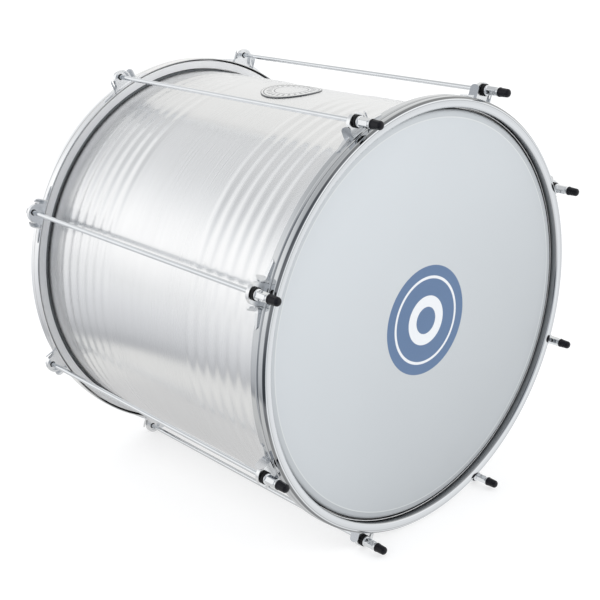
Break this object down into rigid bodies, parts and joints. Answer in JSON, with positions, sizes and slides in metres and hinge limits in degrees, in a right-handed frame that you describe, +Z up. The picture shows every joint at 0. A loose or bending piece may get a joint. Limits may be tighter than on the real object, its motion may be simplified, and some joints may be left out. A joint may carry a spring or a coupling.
{
  "type": "surdo",
  "caption": "Large samba drum lying on its side: beaded metal shell, film heads, chromed hoops with ears, long tension rods and capped tuning nuts.",
  "frame": {"origin": "centre of the bounding box's base: the floor under the drum as it lies on the ears of its hoops", "axes": "+Y along the drum's axis from the batter head to the rear head, +Z up, +X to the right as seen facing the rear head from the batter side"},
  "size_m": [0.5378, 0.4912, 0.5378],
  "materials": {
    "shell_aluminium": "satin brushed along the length",
    "badge_aluminium": "satin plate with a polished raised edge",
    "head_film": "hazy polyester film",
    "flesh_hoop_aluminium": "plain mill finish",
    "hoop_chrome": "mirror chrome on pressed steel",
    "rod_chrome": "chrome on steel rod",
    "nut_chrome": "chrome on turned steel",
    "washer_rubber": "black, matt",
    "cap_rubber": "black, satin"
  },
  "bodies": {
    "drum": {"shell": "shell_aluminium", "badge": "badge_aluminium", "batter_head_film": "head_film", "batter_flesh_hoop": "flesh_hoop_aluminium", "batter_hoop": "hoop_chrome", "rear_head_film": "head_film", "rear_flesh_hoop": "flesh_hoop_aluminium", "rear_hoop": "hoop_chrome", "tension_rod_1": "rod_chrome", "tension_rod_2": "rod_chrome", "tension_rod_3": "rod_chrome", "tension_rod_4": "rod_chrome", "tension_rod_5": "rod_chrome", "tension_rod_6": "rod_chrome", "tension_rod_7": "rod_chrome", "tension_rod_8": "rod_chrome", "rear_washer_1": "washer_rubber", "rear_washer_2": "washer_rubber", "rear_washer_3": "washer_rubber", "rear_washer_4": "washer_rubber", "rear_washer_5": "washer_rubber", "rear_washer_6": "washer_rubber", "rear_washer_7": "washer_rubber", "rear_washer_8": "washer_rubber"},
    "washer_1": {"batter_washer_1": "washer_rubber"},
    "nut_1": {"tuning_nut_1": "nut_chrome"},
    "cap_1": {"end_cap_1": "cap_rubber"},
    "washer_2": {"batter_washer_2": "washer_rubber"},
    "nut_2": {"tuning_nut_2": "nut_chrome"},
    "cap_2": {"end_cap_2": "cap_rubber"},
    "washer_3": {"batter_washer_3": "washer_rubber"},
    "nut_3": {"tuning_nut_3": "nut_chrome"},
    "cap_3": {"end_cap_3": "cap_rubber"},
    "washer_4": {"batter_washer_4": "washer_rubber"},
    "nut_4": {"tuning_nut_4": "nut_chrome"},
    "cap_4": {"end_cap_4": "cap_rubber"},
    "washer_5": {"batter_washer_5": "washer_rubber"},
    "nut_5": {"tuning_nut_5": "nut_chrome"},
    "cap_5": {"end_cap_5": "cap_rubber"},
    "washer_6": {"batter_washer_6": "washer_rubber"},
    "nut_6": {"tuning_nut_6": "nut_chrome"},
    "cap_6": {"end_cap_6": "cap_rubber"},
    "washer_7": {"batter_washer_7": "washer_rubber"},
    "nut_7": {"tuning_nut_7": "nut_chrome"},
    "cap_7": {"end_cap_7": "cap_rubber"},
    "washer_8": {"batter_washer_8": "washer_rubber"},
    "nut_8": {"tuning_nut_8": "nut_chrome"},
    "cap_8": {"end_cap_8": "cap_rubber"}
  },
  "joints": [
    {"name": "nut_1_travel", "type": "slide", "parent": "drum", "child": "washer_1", "axis": [0, -1, 0], "range_m": [0, 0.00981]},
    {"name": "nut_1_turn", "type": "hinge", "parent": "washer_1", "child": "nut_1", "pos_m": [0.10761, -0.22285, 0.52867], "axis": [0, -1, 0], "range_deg": [0, 3528]},
    {"name": "cap_1_pull", "type": "slide", "parent": "nut_1", "child": "cap_1", "axis": [0, -1, 0], "range_m": [0, 0.02]},
    {"name": "nut_2_travel", "type": "slide", "parent": "drum", "child": "washer_2", "axis": [0, -1, 0], "range_m": [0, 0.00981]},
    {"name": "nut_2_turn", "type": "hinge", "parent": "washer_2", "child": "nut_2", "pos_m": [0.25979, -0.22285, 0.37649], "axis": [0, -1, 0], "range_deg": [0, 3528]},
    {"name": "cap_2_pull", "type": "slide", "parent": "nut_2", "child": "cap_2", "axis": [0, -1, 0], "range_m": [0, 0.02]},
    {"name": "nut_3_travel", "type": "slide", "parent": "drum", "child": "washer_3", "axis": [0, -1, 0], "range_m": [0, 0.00981]},
    {"name": "nut_3_turn", "type": "hinge", "parent": "washer_3", "child": "nut_3", "pos_m": [0.25979, -0.22285, 0.16127], "axis": [0, -1, 0], "range_deg": [0, 3528]},
    {"name": "cap_3_pull", "type": "slide", "parent": "nut_3", "child": "cap_3", "axis": [0, -1, 0], "range_m": [0, 0.02]},
    {"name": "nut_4_travel", "type": "slide", "parent": "drum", "child": "washer_4", "axis": [0, -1, 0], "range_m": [0, 0.00981]},
    {"name": "nut_4_turn", "type": "hinge", "parent": "washer_4", "child": "nut_4", "pos_m": [0.10761, -0.22285, 0.00908], "axis": [0, -1, 0], "range_deg": [0, 3528]},
    {"name": "cap_4_pull", "type": "slide", "parent": "nut_4", "child": "cap_4", "axis": [0, -1, 0], "range_m": [0, 0.02]},
    {"name": "nut_5_travel", "type": "slide", "parent": "drum", "child": "washer_5", "axis": [0, -1, 0], "range_m": [0, 0.00981]},
    {"name": "nut_5_turn", "type": "hinge", "parent": "washer_5", "child": "nut_5", "pos_m": [-0.10761, -0.22285, 0.00908], "axis": [0, -1, 0], "range_deg": [0, 3528]},
    {"name": "cap_5_pull", "type": "slide", "parent": "nut_5", "child": "cap_5", "axis": [0, -1, 0], "range_m": [0, 0.02]},
    {"name": "nut_6_travel", "type": "slide", "parent": "drum", "child": "washer_6", "axis": [0, -1, 0], "range_m": [0, 0.00981]},
    {"name": "nut_6_turn", "type": "hinge", "parent": "washer_6", "child": "nut_6", "pos_m": [-0.25979, -0.22285, 0.16127], "axis": [0, -1, 0], "range_deg": [0, 3528]},
    {"name": "cap_6_pull", "type": "slide", "parent": "nut_6", "child": "cap_6", "axis": [0, -1, 0], "range_m": [0, 0.02]},
    {"name": "nut_7_travel", "type": "slide", "parent": "drum", "child": "washer_7", "axis": [0, -1, 0], "range_m": [0, 0.00981]},
    {"name": "nut_7_turn", "type": "hinge", "parent": "washer_7", "child": "nut_7", "pos_m": [-0.25979, -0.22285, 0.37649], "axis": [0, -1, 0], "range_deg": [0, 3528]},
    {"name": "cap_7_pull", "type": "slide", "parent": "nut_7", "child": "cap_7", "axis": [0, -1, 0], "range_m": [0, 0.02]},
    {"name": "nut_8_travel", "type": "slide", "parent": "drum", "child": "washer_8", "axis": [0, -1, 0], "range_m": [0, 0.00981]},
    {"name": "nut_8_turn", "type": "hinge", "parent": "washer_8", "child": "nut_8", "pos_m": [-0.10761, -0.22285, 0.52867], "axis": [0, -1, 0], "range_deg": [0, 3528]},
    {"name": "cap_8_pull", "type": "slide", "parent": "nut_8", "child": "cap_8", "axis": [0, -1, 0], "range_m": [0, 0.02]}
  ],
  "couplings": [
    {"joint": "nut_1_travel", "follows": "nut_1_turn", "m_per_rad": 0.00015915},
    {"joint": "nut_2_travel", "follows": "nut_2_turn", "m_per_rad": 0.00015915},
    {"joint": "nut_3_travel", "follows": "nut_3_turn", "m_per_rad": 0.00015915},
    {"joint": "nut_4_travel", "follows": "nut_4_turn", "m_per_rad": 0.00015915},
    {"joint": "nut_5_travel", "follows": "nut_5_turn", "m_per_rad": 0.00015915},
    {"joint": "nut_6_travel", "follows": "nut_6_turn", "m_per_rad": 0.00015915},
    {"joint": "nut_7_travel", "follows": "nut_7_turn", "m_per_rad": 0.00015915},
    {"joint": "nut_8_travel", "follows": "nut_8_turn", "m_per_rad": 0.00015915}
  ]
}
